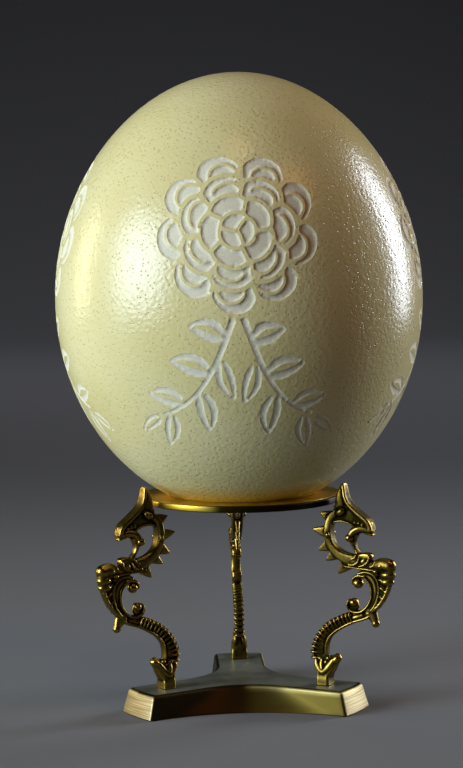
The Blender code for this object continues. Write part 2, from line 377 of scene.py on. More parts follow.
def leaf(x, y, root, tip, width, bow):
    """Half-width (w / 2) sin(pi s^0.85)^0.8 with saw teeth about a bowed axis, less a lens-shaped midrib."""
    chord = np.subtract(tip, root)
    length = float(np.hypot(*chord))
    along, aside = chord / length, np.array([-chord[1], chord[0]]) / length
    s = ((x - root[0]) * along[0] + (y - root[1]) * along[1]) / length
    v = (x - root[0]) * aside[0] + (y - root[1]) * aside[1] - bow * 4.0 * s * (1.0 - s)
    inner = np.clip(s, 1e-4, 1.0)
    teeth = TOOTH_DEPTH * (np.mod(TEETH * inner + 0.2, 1.0) - 0.5)
    half = 0.5 * width * np.sin(math.pi * inner**0.85) ** 0.8 * (1.0 + teeth)
    edge = (half - np.abs(v)) * 0.88
    edge = np.minimum(edge, np.minimum(s, 1.0 - s) * length + 0.2)
    lens = 0.085 * width * np.clip(np.sin(math.pi * np.clip((inner - 0.22) / 0.56, 0.0, 1.0)), 0.0, 1.0)
    return np.minimum(edge, np.where(inner < 0.86, np.abs(v) - 0.30 - lens, 9.0))


def stem(x, y, path, start_width, end_width):
    """A half-width that tapers along a smooth curve through the path, less the distance to that curve."""
    knots = np.asarray(path, dtype=float)
    place = np.linspace(0.0, 1.0, len(knots))
    fit_x, fit_y = (np.polyfit(place, knots[:, i], min(3, len(knots) - 1)) for i in (0, 1))
    t = np.linspace(0.0, 1.0, 60)
    best = np.full_like(x, 1e9)
    half = np.full_like(x, 0.5)
    for s, px, py in zip(t, np.polyval(fit_x, t), np.polyval(fit_y, t)):
        distance = np.hypot(x - px, y - py)
        nearer = distance < best
        best = np.where(nearer, distance, best)
        half = np.where(nearer, 0.5 * (start_width + (end_width - start_width) * s), half)
    return half - best


# %% The whole design
# side, reach sideways, and how much lower the leaves hang; the two differ a little, as if drawn by hand
SPRIGS = [(-1.0, 0.90, 0.0), (1.0, 0.85, 1.2)]
# points of a stem; only those more than 10 mm aside follow the sprig's reach
STEM_PATH = [(1.2, -27.0), (6.0, -40.0), (15.0, -53.0), (28.0, -61.0)]
# root, tip, width and bow of each leaf
LEAVES = [
    ((4.2, -35.0), (18.5, -30.5), 7.6, 1.0),
    ((6.2, -41.5), (1.4, -56.0), 6.2, 0.8),
    ((9.8, -46.5), (26.0, -42.0), 7.6, 1.1),
    ((14.5, -52.2), (11.0, -68.0), 7.0, -1.1),
    ((20.0, -57.2), (35.0, -53.5), 6.6, 0.9),
    ((25.5, -60.4), (26.5, -74.0), 6.0, -0.8),
    ((28.8, -61.6), (38.0, -68.5), 5.0, 0.6),
]
STEM_WIDTHS = (2.5, 1.5)
LINE_ROUND_FLOWER = 1.3


def carving(x, y):
    """How far inside the cut a point lies, in mm: the flower, and two leafy sprigs that hang under it."""
    flower, outside_flower = rosette(x, y)
    sprigs = np.full_like(x, FAR_OUTSIDE)
    for side, reach, drop in SPRIGS:
        path = [(side * px * (reach if px > 10.0 else 1.0), py) for px, py in STEM_PATH]
        sprigs = np.maximum(sprigs, stem(x, y, path, *STEM_WIDTHS))
        for (rx, ry), (tx, ty), width, bow in LEAVES:
            root, tip = (side * rx * reach, ry - drop), (side * tx * reach, ty - drop)
            sprigs = np.maximum(sprigs, leaf(x, y, root, tip, width, side * bow))
    return np.maximum(flower, np.minimum(sprigs, outside_flower - LINE_ROUND_FLOWER))


# %% Rows and columns of the egg
def graded(low, high, fine_low, fine_high, fine, coarse, growth):
    """Places from low to high, spaced fine between two limits and growing to coarse away from them."""
    dense = np.linspace(low, high, 20001)
    away = np.maximum(np.maximum(fine_low - dense, dense - fine_high), 0.0)
    spacing = np.minimum(fine + growth * away, coarse)
    count = np.concatenate([[0.0], np.cumsum(np.diff(dense) / spacing[:-1])])
    return np.interp(np.linspace(0.0, count[-1], int(round(count[-1])) + 1), count, dense)


CELL = 0.685
COPIES = 4
FIRST_MIDDLE = 267.0
FLOWER_HEIGHT = 166.0

flower_length = float(np.interp(FLOWER_HEIGHT, profile_height, profile_length))
carved_from, carved_to = flower_length - 75.0, flower_length + 27.5
row_length = graded(0.0, meridian, carved_from, carved_to, fine=CELL, coarse=4.0, growth=0.16)[1:-1]
quarter = 180.0 / COPIES
cell_turn = math.degrees(CELL / 62.0)
column_turn = graded(-quarter, quarter, -37.0, 37.0, fine=cell_turn, coarse=2.6, growth=0.12)[:-1]
print("rows:", len(row_length), "columns:", COPIES * len(column_turn))

# %% [markdown]
# ## Egg: cutting the grid
# A straight grid would give the cut a saw-toothed edge. So each point close to an edge of the design first
# slides onto it, the cells that an edge crosses are split along it, and only then do the points inside sink
# into the shell.

# %% Slide points onto the edges, then sink the ground
CUT_DEPTH = 0.45
SPRIG_DEPTH = 0.28
SPRIGS_BELOW, FLOWER_ABOVE = -33.0, -27.0
CUT_WALL = 0.24
ON_EDGE = 0.03
NUDGE = 0.02
AHEAD = 0.05


def slide_onto_edges(x, y):
    """A point within about half a cell of an edge moves by value / g^2 along the gradient g of the design."""
    for _ in range(2):
        value = carving(x, y)
        grad_x = (carving(x + NUDGE, y) - carving(x - NUDGE, y)) / (2.0 * NUDGE)
        grad_y = (carving(x, y + NUDGE) - carving(x, y - NUDGE)) / (2.0 * NUDGE)
        steep = np.maximum(grad_x**2 + grad_y**2, 0.2)
        near = np.abs(value) < 0.46 * CELL * np.sqrt(steep)
        x = np.where(near, x - value * grad_x / steep, x)
        y = np.where(near, y - value * grad_y / steep, y)
    return x, y


def carved_quarter():
    """Radius, height and angle of a quarter's grid, sunk along its normals where cut, and the design."""
    length = np.repeat(row_length[:, None], len(column_turn), axis=1)
    turned = np.radians(np.repeat(column_turn[None, :], len(row_length), axis=0))
    x, y = slide_onto_edges(on_meridian(length)[0] * turned, length - flower_length)
    value = carving(x, y)
    value = np.where(np.abs(value) < ON_EDGE, 0.0, value)
    radius, height = on_meridian(y + flower_length)
    radius_ahead, height_ahead = on_meridian(y + flower_length + AHEAD)
    angle = np.where(radius > 1.0, x / radius, turned)
    slope_r, slope_z = radius_ahead - radius, height_ahead - height
    slope = np.hypot(slope_r, slope_z)
    depth = np.interp(y, [SPRIGS_BELOW, FLOWER_ABOVE], [SPRIG_DEPTH, CUT_DEPTH])
    depth = depth * np.clip(value / CUT_WALL, 0.0, 1.0)
    return radius - depth * slope_z / slope, height + depth * slope_r / slope, angle, value


# %% Join the quarters
def split_along_edges(quads, value):
    """Two triangles a quad, cut across the diagonal whose ends lie nearer the edge of the design."""
    far = np.abs(value)
    first = (far[quads[:, 0]] + far[quads[:, 2]] <= far[quads[:, 1]] + far[quads[:, 3]])[:, None]
    one = np.where(first, quads[:, [0, 1, 2]], quads[:, [0, 1, 3]])
    two = np.where(first, quads[:, [0, 2, 3]], quads[:, [1, 2, 3]])
    return one, two


def make_egg_mesh():
    """Four quarters side by side, a point at each pole, and a sharp crease along the top of each cut wall."""
    radius, height, angle, value = carved_quarter()
    quarters = []
    for copy in range(COPIES):
        around = angle + math.radians(FIRST_MIDDLE + 360.0 * copy / COPIES)
        quarters.append(np.stack([radius * np.cos(around), radius * np.sin(around), height], axis=-1))
    poles = [[0.0, 0.0, EGG_BOTTOM], [0.0, 0.0, EGG_TOP]]
    points = np.concatenate([np.concatenate(quarters, axis=1).reshape(-1, 3), poles])
    rows, columns = len(row_length), COPIES * len(column_turn)
    cut = np.append(np.tile(value, (1, COPIES)).reshape(-1), [-9.0, -9.0])
    faces = np.concatenate([*split_along_edges(grid_faces(rows, columns), cut), *closing_fans(rows, columns)])
    mesh = new_mesh("carved egg", points, faces, {"cut": np.clip(cut, -4.0, 4.0)})
    sharp = (cut[edge_ends(mesh)] == 0.0).all(axis=1)
    mesh.attributes.new("sharp_edge", "BOOLEAN", "EDGE").data.foreach_set("value", sharp)
    return mesh


egg_mesh = make_egg_mesh()
print("egg mesh:", len(egg_mesh.polygons), "triangles")

# %% [markdown]
# ## Egg: the shell
# An ostrich shell is a hard cream mineral with a natural gloss. Close to, it is gently dimpled like orange
# peel and dotted with pores, which show most in the highlights. The carved ground has lost its gloss and is
# nearly white, because the burr leaves a fine powdery surface that scatters light, and just above the ring
# a painted reflection of the brass makes the shell golden. Patterns in real sizes make all of this, and the
# "cut" number of each point says where it is ground.

# %% Shell material
CLOUD = 45.5 * MM
DIMPLE, DIMPLE_DEPTH = 1.3 * MM, 0.088 * MM
PORE_SPACING, PORE_DEPTH = 1.25 * MM, 0.13 * MM
GRIT, GRIT_DEPTH = 0.35 * MM, 0.10 * MM
RING_BOTTOM, RING_TOP = cad_span("ring", 2)
# top of the painted reflection of the brass on the shell, in mm
PAINTED_REFLECTION_TOP = RING_TOP + 6.5


def shell_material():
    """Eggshell: glossy, dimpled and pored where whole, and a matt, powdery white where ground."""
    shell = new_material("polished eggshell with ground carving")
    place = add(shell, "TexCoord", out="Object")
    cut = add(shell, "Attribute", attribute_name="cut", out="Fac")
    frosted = add(shell, "MapRange", {"Value": cut, "From Min": 0.0, "From Max": 0.10}, **SMOOTH)

    # whole shell: clouded cream with a painted reflection of the brass just above the ring, and a darker dot
    # in each pore
    cloud = add(shell, "TexNoise", {"Vector": place, "Scale": 1.0 / CLOUD, "Detail": 3.0})
    cream = add(shell, "ValToRGB", {"Fac": cloud}, [(0.30, "#DDCC88"), (0.70, "#E8DBA2")])
    height = add(shell, "SeparateXYZ", {"Vector": place}, out="Z")
    # painted reflection: the shell is golden at the ring and clear of it 6.5 mm higher
    clean = add(shell, "MapRange", {"Value": height, "From Min": RING_TOP * MM, "From Max": PAINTED_REFLECTION_TOP * MM})
    with_painted_reflection = add(shell, "Mix", {"Factor": clean, COLOUR_A: linear("#DDB236"), COLOUR_B: cream}, **COLOURS)
    pore = add(shell, "TexVoronoi", {"Vector": place, "Scale": 1.0 / PORE_SPACING})
    pit = add(shell, "MapRange", {"Value": pore, "From Min": 0.05, "From Max": 0.24})
    whole = add(shell, "Mix", {"Factor": pit, COLOUR_A: linear("#A8924A"), COLOUR_B: with_painted_reflection}, **COLOURS)

    # ground shell: chalky powder, creamier up the cut wall
    grit = add(shell, "TexNoise", {"Vector": place, "Scale": 1.0 / GRIT, "Detail": 4.0})
    powder = add(shell, "ValToRGB", {"Fac": grit}, [(0.25, "#D2C9AC"), (0.75, "#F3EBCC")])
    wall = add(shell, "MapRange", {"Value": cut, "From Min": 0.02, "From Max": 0.30}, **SMOOTH)
    ground = add(shell, "Mix", {"Factor": wall, COLOUR_A: linear("#DACC98"), COLOUR_B: powder}, **COLOURS)

    # relief: dimples and pores where whole, grit where ground
    warp = add(shell, "TexNoise", {"Vector": place, "Scale": 1.0 / DIMPLE, "Detail": 1.0})
    peel = add(shell, "TexVoronoi", {"Vector": place, "Scale": 1.0 / DIMPLE}, feature="SMOOTH_F1")
    dimples = add(shell, "Math", {0: peel, 1: warp}, operation="ADD")
    dimpled = add(shell, "Bump", {"Height": dimples, "Strength": 1.0, "Distance": DIMPLE_DEPTH})
    pored = {"Height": pit, "Strength": 0.8, "Distance": PORE_DEPTH, "Normal": dimpled}
    gritty = add(shell, "Bump", {"Height": grit, "Strength": 0.7, "Distance": GRIT_DEPTH})
    relief = {"Factor": frosted, VECTOR_A: add(shell, "Bump", pored), VECTOR_B: gritty}

    look = {
        "Base Color": add(shell, "Mix", {"Factor": frosted, COLOUR_A: whole, COLOUR_B: ground}, **COLOURS),
        "Roughness": add(shell, "MapRange", {"Value": frosted, "To Min": 0.24, "To Max": 0.80}),
        "Normal": add(shell, "Mix", relief, **VECTORS),
        "IOR": 1.52,
        "Specular IOR Level": 0.5,
    }
    add(shell, "OutputMaterial", {"Surface": add(shell, "BsdfPrincipled", look)})
    return shell


new_piece("carved_egg", egg_mesh, shell_material(), "egg")

# %% [markdown]
# ## Brass
# All the metal is brass, an alloy whose yellow comes from its reflection itself, so a metallic shader with
# a tinted base colour is the whole story; what changes between the pieces is how they were finished. The
# ring is turned and polished, with painted shade on one side of its rim; the legs are cast and burnished so
# that hollows stay dark with patina, and two of them carry a little painted shade; the plate is brushed at
# its ends, has a painted grey reflection on top, tarnish and painted shade along its sides, and a painted
# highlight along its top edges.

# %% Polished brass
RING_CLOUD = 11.1 * MM


def polished_brass():
    """Turned, polished brass: clear warm reflections, lightly clouded, and painted shade on one side of the
    rim.
    """
    brass = new_material("polished brass")
    place = add(brass, "TexCoord", out="Object")
    dark = add(brass, "Attribute", attribute_name="painted_shade", out="Fac")
    cloud = add(brass, "TexNoise", {"Vector": place, "Scale": 1.0 / RING_CLOUD, "Detail": 4.0})
    bright = add(brass, "ValToRGB", {"Fac": cloud}, [(0.35, "#BC9A30"), (0.65, "#DDBB48")])
    # painted shade: the rim's shaded side is mixed towards near-black and made rougher
    rim_with_painted_shade = {"Factor": dark, COLOUR_A: bright, COLOUR_B: linear("#2E240C")}
    satin = add(brass, "MapRange", {"Value": cloud, "To Min": 0.24, "To Max": 0.40})
    look = {
        "Base Color": add(brass, "Mix", rim_with_painted_shade, **COLOURS),
        "Metallic": 1.0,
        "Roughness": add(brass, "Mix", {"Factor": dark, NUMBER_A: satin, NUMBER_B: 0.5}),
        "Normal": add(brass, "Bump", {"Height": cloud, "Strength": 0.2, "Distance": 0.05 * MM}),
    }
    add(brass, "OutputMaterial", {"Surface": add(brass, "BsdfPrincipled", look)})
    return brass


# %% [markdown]
# ## Ring
# The ring was turned on a lathe, so it is one closed profile carried round the axis. Its bore follows the
# egg, which rests on the inner edge, and its outer rim is rounded with a narrow turned line just inside it.
# One side of the rim is darkened with painted shade, and a number at each point says how far.

# %% Turned ring
RING_OUTER = cad_span("ring", 0)[1]
TOP_EDGE, LOWER_EDGE = 0.55, 0.45
# how far inside the rim, and how deep
TURNED_LINE = [(1.75, 0.0), (1.6, 0.14), (1.4, 0.14), (1.25, 0.0)]
BORE_GAP, BORE_FLARE = 0.03, 0.9
# middle of the rim's side with painted shade, half its angle, and the angle over which the shade fades
PAINTED_SHADE_TOWARDS, PAINTED_SHADE_HALF, PAINTED_SHADE_FADE = 315.0, 78.0, 18.0
SEGMENTS = 256


def turned_ring():
    """A profile of (radius, height) carried round the axis: rounded rim, turned line, bore on the egg."""
    bore_top = float(egg_radius(RING_TOP)) + BORE_GAP
    bore_bottom = float(egg_radius(RING_BOTTOM)) + BORE_FLARE
    corner = np.linspace(0.0, math.pi / 2.0, 7)
    s, c = 1.0 - np.sin(corner), 1.0 - np.cos(corner)
    upper = np.column_stack([RING_OUTER - TOP_EDGE * s, RING_TOP - TOP_EDGE * c])
    lower = np.column_stack([RING_OUTER - LOWER_EDGE * c, RING_BOTTOM + LOWER_EDGE * s])
    line = [(RING_OUTER - inside, RING_TOP - deep) for inside, deep in TURNED_LINE]
    flat = [(bore_top + 0.15, RING_TOP), (bore_top + 2.0, RING_TOP)]
    bore = [(bore_bottom + 0.2, RING_BOTTOM), (bore_bottom, RING_BOTTOM + 0.2), (bore_top, RING_TOP - 0.15)]
    profile = np.concatenate([flat, line, upper, lower, bore])
    turn = np.linspace(0.0, math.tau, SEGMENTS, endpoint=False)
    x = profile[:, :1] * np.cos(turn)
    y = profile[:, :1] * np.sin(turn)
    z = np.repeat(profile[:, 1:], SEGMENTS, axis=1)
    faces = grid_faces(len(profile), SEGMENTS, closed_rows=True)[:, ::-1]
    rim = np.clip((profile[:, :1] - RING_OUTER + 0.9) / 0.5, 0.0, 1.0)
    # painted shade on the outer rim, full round one side and fading over a few degrees
    from_dark = np.abs(np.mod(np.degrees(turn) - PAINTED_SHADE_TOWARDS + 180.0, 360.0) - 180.0)
    painted_shade = rim * np.clip((PAINTED_SHADE_HALF - from_dark) / PAINTED_SHADE_FADE, 0.0, 1.0)
    return np.stack([x, y, z], axis=-1).reshape(-1, 3), faces, {"painted_shade": painted_shade.reshape(-1)}


ring_mesh = new_mesh("turned ring", *turned_ring())
ring_mesh.set_sharp_from_angle(angle=math.radians(35.0))
new_piece("egg_ring", ring_mesh, polished_brass(), "ring")

# %% [markdown]
# ## Base plate
# The plate is a thick casting with three blunt arms, one under each leg, and a hollow curve between each
# two. Its foot is wider and less hollow than its top, so its long sides lean in. A bevelled flat shape
# could not lean like that, so outlines are stacked from the foot to the top. Each is three straight-sided
# arms joined by arcs; drawing it in by a distance keeps the arcs' centres, which makes the rounded edges
# exact.

# %% Outline of the plate
PLATE_HEIGHT = cad_span("base", 2)[1]
# reach of an arm, half its width, radius of the hollow between two arms
TOP_OUTLINE = np.array([42.4, 8.75, 25.0])
FOOT_OUTLINE = np.array([44.7, 9.8, 62.0])
CORNER_ROUNDING = 1.1
CORNER_POINTS = 5
END_BULGE = 0.6
HOLLOW_STEPS = 36


def rotate(points, degrees):
    """Turns plan points about the axis."""
    c, s = math.cos(math.radians(degrees)), math.sin(math.radians(degrees))
    return points @ np.array([[c, s], [-s, c]])


def plate_outline(reach, half_width, hollow_radius):
    """Slightly bulging arm ends at the reach, straight arm sides, and a 60 degree arc that touches two arms.

    The second array marks each arm's end face, as far as the middle of its two rounded corners.
    """
    corner = np.linspace(0.0, math.pi / 2.0, CORNER_POINTS)
    right = CORNER_ROUNDING * np.stack([np.cos(corner), np.sin(corner)], axis=-1)
    right += (half_width - CORNER_ROUNDING, reach - CORNER_ROUNDING - END_BULGE)
    left = right[::-1] * (-1.0, 1.0)
    across_end = np.linspace(1.0, -1.0, 9)[1:-1]
    end_x = (half_width - CORNER_ROUNDING) * across_end
    end = np.stack([end_x, reach - END_BULGE * across_end**2], axis=-1)
    slant = math.cos(math.radians(30.0))
    away, across = np.array([-slant, 0.5]), np.array([-0.5, -slant])
    sweep = np.radians(np.linspace(-30.0, 30.0, HOLLOW_STEPS + 1))[:, None]
    centre = (half_width + hollow_radius) / slant
    arc = centre * away + hollow_radius * (np.sin(sweep) * across - np.cos(sweep) * away)
    near_side = np.linspace(left[-1], arc[0], 6)[1:-1]
    far_side = np.linspace(arc[-1], rotate(right[:1], 120.0)[0], 6)[1:-1]
    arm = np.concatenate([right, end, left, near_side, arc, far_side])
    ends = np.zeros(len(arm))
    ends[CORNER_POINTS - 2 : CORNER_POINTS + len(end) + 2] = 1.0
    return np.concatenate([rotate(arm, 120.0 * k) for k in range(3)]), np.tile(ends, 3)


# %% Stack the outlines
FOOT_ROUNDING = 0.5
EDGE_ROUNDING = 1.15
INNER_SHARE = 0.55
# height and spread of the painted highlight along the plate's rounded top edge, in mm
HIGHLIGHT_HEIGHT, HIGHLIGHT_SPREAD = PLATE_HEIGHT - 0.75, 0.55


def plate():
    """Outlines from the foot's rounded edge to the top's, each with an inset and a height, closed by fans.

    Each long side gets painted shade, darkest beside one arm and lighter beside the next: its angle decides.
    """
    curve = np.linspace(0.0, math.pi / 2.0, 7)
    s, c = 1.0 - np.sin(curve), 1.0 - np.cos(curve)
    side = np.linspace(FOOT_ROUNDING, PLATE_HEIGHT - EDGE_ROUNDING, 7)[1:-1]
    insets = np.concatenate([FOOT_ROUNDING * s, 0.0 * side, EDGE_ROUNDING * c])
    heights = np.concatenate([FOOT_ROUNDING * c, side, PLATE_HEIGHT - EDGE_ROUNDING * s])
    rows = []
    for inset, height in zip(insets, heights):
        share = height / PLATE_HEIGHT
        reach, half_width, hollow = FOOT_OUTLINE + (TOP_OUTLINE - FOOT_OUTLINE) * share
        outline, ends = plate_outline(reach - inset, half_width - inset, hollow + inset)
        rows.append(np.column_stack([outline, np.full(len(outline), height)]))
    rows.append(rows[-1] * (INNER_SHARE, INNER_SHARE, 1.0))
    points = np.concatenate([*rows, [[0.0, 0.0, 0.0], [0.0, 0.0, PLATE_HEIGHT]]])
    groups = [grid_faces(len(rows), len(ends)), *closing_fans(len(rows), len(ends))]
    faces = [face for group in groups for face in group.tolist()]
    x, y, z = points.T
    on_ends = np.append(np.tile(ends, len(rows)), [0.0, 0.0])
    # painted shade along each side and a painted highlight along the top edge are marked below
    from_middle = np.mod(np.degrees(np.arctan2(y, x)) - 210.0, 120.0) - 60.0
    marks = {
        "end_face": on_ends * ((z > 0.3) & (z < PLATE_HEIGHT - 0.4)),
        "top_face": z > PLATE_HEIGHT - 0.01,
        "painted_highlight_edge": np.clip(1.0 - np.abs(z - HIGHLIGHT_HEIGHT) / HIGHLIGHT_SPREAD, 0.0, 1.0),
        "painted_shade": np.clip(0.60 - from_middle / 42.0, 0.32, 1.0),
    }
    return points, faces, marks


# %% Brushed and tarnished brass
PLATE_CLOUD = 14.3 * MM
BRUSH_LENGTH, BRUSH_LINE = 16.7 * MM, 0.3125 * MM


def brushed_brass():
    """Plate brass: brushed ends; painted reflection on top, tarnish and painted shade on sides, painted
    highlight on edges.
    """
    brass = new_material("brushed and tarnished brass")
    place = add(brass, "TexCoord", out="Object")
    end_face, painted_shade, top_face, edge = (
        add(brass, "Attribute", attribute_name=mark, out="Fac")
        for mark in ("end_face", "painted_shade", "top_face", "painted_highlight_edge")
    )
    brush = (1.0 / BRUSH_LENGTH, 1.0 / BRUSH_LENGTH, 1.0 / BRUSH_LINE)
    stretched = add(brass, "Mapping", {"Vector": place, "Scale": brush})
    lines = add(brass, "TexNoise", {"Vector": stretched, "Scale": 1.0, "Detail": 3.0})
    blotches = {"Vector": place, "Scale": 1.0 / PLATE_CLOUD, "Detail": 6.0, "Roughness": 0.6}
    cloud = add(brass, "TexNoise", blotches)
    clean = add(brass, "ValToRGB", {"Fac": cloud}, [(0.30, "#564A1C"), (0.70, "#6C5D2A")])
    # painted reflection: the top is grey-green like the grey paper it would mirror, and less metallic
    satin = add(brass, "ValToRGB", {"Fac": cloud}, [(0.32, "#55584A"), (0.68, "#8C8E7E")])
    pale = add(brass, "ValToRGB", {"Fac": lines}, [(0.35, "#8A7850"), (0.65, "#B4A47C")])

    # how dark a side is, from blotchy tarnish and painted shade, and where the painted edge highlight shows
    # where it isn't dark
    uneven = add(brass, "Math", {0: cloud, 1: 0.5, 2: painted_shade}, operation="MULTIPLY_ADD")
    dark = add(brass, "MapRange", {"Value": uneven, "From Min": 0.45, "From Max": 1.05}, **SMOOTH)
    kept = add(brass, "Math", {0: 1.0, 1: dark}, operation="SUBTRACT")
    # painted highlight: a bright brass line along the top edge, wherever the side isn't dark
    edge_highlight = add(brass, "Math", {0: edge, 1: kept}, operation="MULTIPLY")

    # sides, then arm ends, then the painted edge highlight, then the top's painted reflection, each laid over
    # the last
    colour = clean
    layers = [(dark, linear("#3A3018")), (end_face, pale), (edge_highlight, linear("#D9C27A")), (top_face, satin)]
    for share, over in layers:
        colour = add(brass, "Mix", {"Factor": share, COLOUR_A: colour, COLOUR_B: over}, **COLOURS)
    # less metallic where the top's painted reflection and the painted edge highlight are
    top_or_edge_highlight = add(brass, "Math", {0: top_face, 1: edge_highlight}, operation="MAXIMUM")
    strength = add(brass, "MapRange", {"Value": end_face, "To Min": 0.03, "To Max": 0.55})
    look = {
        "Base Color": colour,
        "Metallic": add(brass, "MapRange", {"Value": top_or_edge_highlight, "To Min": 1.0, "To Max": 0.45}),
        "Roughness": add(brass, "MapRange", {"Value": top_face, "To Min": 0.49, "To Max": 0.42}),
        "Normal": add(brass, "Bump", {"Height": lines, "Strength": strength, "Distance": 0.08 * MM}),
    }
    add(brass, "OutputMaterial", {"Surface": add(brass, "BsdfPrincipled", look)})
    return brass


plate_mesh = new_mesh("base plate", *plate())
plate_mesh.set_sharp_from_angle(angle=math.radians(50.0))
new_piece("base_plate", plate_mesh, brushed_brass(), "base")

# %% [markdown]
# ## Legs: one casting
# Each leg is the same casting: a beast-like neck with a spiked spine, a curl, a body with a C-scroll and a
# leaf, a ribbed tail and a shank. A modeller would roll and press such a thing from wax, so that is how it
# is made here: bars carried along smooth paths in the leg's plane, and balls, which a fine voxel remesh
# melts into one skin. Places are (distance from the stand's axis, height) in millimetres. A bar is given as
# its line, its half-width in the leg's plane, its half-depth across it, and where it lies across the leg; a
# size may be one value or several spread evenly along the line. Boxy below 1 squares its section.

# %% Wax bars and balls
AROUND = 20
CAP_ROWS = 5
BALL_ROWS = 13
STEP = 0.22


def smooth_path(knots):
    """Cubics that pass each knot parallel to the line between its neighbours, resampled at an even step.

    Extra columns of a knot are carried along.
    """
    k = np.asarray(knots, dtype=float)
    k = np.concatenate([[2 * k[0] - k[1]], k, [2 * k[-1] - k[-2]]])
    t = np.linspace(0.0, 1.0, 24, endpoint=False)[:, None]
    parts = [
        0.5 * (2 * b + (c - a) * t + (2 * a - 5 * b + 4 * c - d) * t**2 + (3 * b - a - 3 * c + d) * t**3)
        for a, b, c, d in zip(k, k[1:], k[2:], k[3:])
    ]
    path = np.concatenate(parts + [k[-2:-1]])
    length = np.concatenate([[0.0], np.cumsum(np.hypot(*np.diff(path[:, :2], axis=0).T))])
    places = np.linspace(0.0, length[-1], max(int(length[-1] / STEP), 3) + 1)
    return np.stack([np.interp(places, length, path[:, i]) for i in range(path.shape[1])], axis=-1), places


def headings(line):
    """Unit directions along a line of points."""
    heading = np.gradient(line, axis=0)
    return heading / np.hypot(*heading.T)[:, None]


def with_caps(values):
    """Repeats the first and the last value for the rows of the rounded ends."""
    return np.concatenate([np.repeat(values[:1], CAP_ROWS, 0), values, np.repeat(values[-1:], CAP_ROWS, 0)])


def bar(line, half, deep, aside=0.0, boxy=1.0, flat_start=False):
    """Section |a|^(2/boxy) + |b|^(2/boxy) = 1 carried along the line, closed by quarter ellipses."""
    share = np.linspace(0.0, 1.0, len(line))
    spread = [np.interp(share, np.linspace(0.0, 1.0, np.size(s)), np.ravel(s)) for s in (half, deep)]
    path, places = smooth_path(np.column_stack([line, *spread]))
    centre, half, deep = path[:, :2], path[:, 2], path[:, 3]
    across = np.interp(places, [0.0, places[-1]], [np.ravel(aside)[0], np.ravel(aside)[-1]])
    heading = headings(centre)
    cap = np.linspace(0.0, math.pi / 2.0, CAP_ROWS + 1)[1:]
    start = centre[0] - heading[0] * half[0] * np.sin(cap)[::-1, None] * (0.0 if flat_start else 1.0)
    end = centre[-1] + heading[-1] * half[-1] * np.sin(cap)[:, None]
    shrink = np.concatenate([np.cos(cap)[::-1], np.ones(len(centre)), np.cos(cap)])
    centre = np.concatenate([start, centre, end])
    half, deep = with_caps(half) * shrink, with_caps(deep) * shrink
    across, heading = with_caps(across), with_caps(heading)
    turn = np.linspace(0.0, math.tau, AROUND, endpoint=False)
    a, b = (np.sign(wave) * np.abs(wave) ** boxy for wave in (np.cos(turn), np.sin(turn)))
    x = centre[:, :1] - heading[:, 1:] * half[:, None] * a
    y = across[:, None] + deep[:, None] * b
    z = centre[:, 1:] + heading[:, :1] * half[:, None] * a
    return np.stack([x, y, z], axis=-1).reshape(-1, 3), grid_faces(len(centre), AROUND)


def ball(place, half_sizes, aside=0.0, tilt=0.0):
    """An ellipsoid: half-sizes in the leg's plane (first and last, tilted) and across it (middle)."""
    bend = np.linspace(0.0, math.pi, BALL_ROWS)[:, None]
    turn = np.linspace(0.0, math.tau, AROUND, endpoint=False)[None, :]
    u = half_sizes[0] * np.sin(bend) * np.cos(turn)
    y = aside + half_sizes[1] * np.sin(bend) * np.sin(turn)
    v = half_sizes[2] * np.cos(bend) + 0.0 * turn
    c, s = math.cos(math.radians(tilt)), math.sin(math.radians(tilt))
    points = np.stack([place[0] + c * u - s * v, y, place[1] + s * u + c * v], axis=-1)
    return points.reshape(-1, 3), grid_faces(BALL_ROWS, AROUND)


# %% Neck, clip and thorns
CREST = [(39.4, 78.4), (39.8, 76.4), (40.2, 74.4), (41.0, 72.6), (42.3, 71.0), (44.4, 69.2), (46.4, 67.7),
         (48.3, 66.2), (49.3, 64.6), (49.6, 63.0)]
WEB = [(36.0, 66.9), (38.0, 67.6), (40.6, 67.9), (43.4, 67.2), (45.8, 65.8), (47.8, 64.4)]
WEB_RIDGE = [(36.2, 65.4), (38.2, 65.8), (40.4, 65.6), (42.6, 64.8), (44.4, 63.6)]
SPINE = [(39.8, 69.2), (37.0, 68.6), (34.8, 66.7), (33.9, 64.1), (33.7, 61.2), (34.4, 58.1), (36.1, 55.6),
         (38.6, 53.7), (41.4, 52.7), (44.2, 52.1)]
# root, tip, half-width at the root
THORNS = [
    ((35.2, 66.5), (30.4, 68.1), 2.5),
    ((33.9, 61.5), (27.5, 62.3), 2.4),
    ((34.6, 57.6), (29.7, 55.2), 2.5),
    ((36.4, 54.3), (32.6, 51.8), 2.0),
    ((40.4, 51.1), (37.1, 47.5), 2.3),
]


def thorn(root, tip, half):
    """A flat blade whose half-width falls as half (1 - s)^0.8 to a blunt tip."""
    s = np.linspace(0.0, 1.0, 5)
    line = np.add(root, s[:, None] * np.subtract(tip, root))
    return bar(line, half * (1.0 - s) ** 0.8 + 0.26, 1.25 - 0.85 * s, boxy=0.55, flat_start=True)


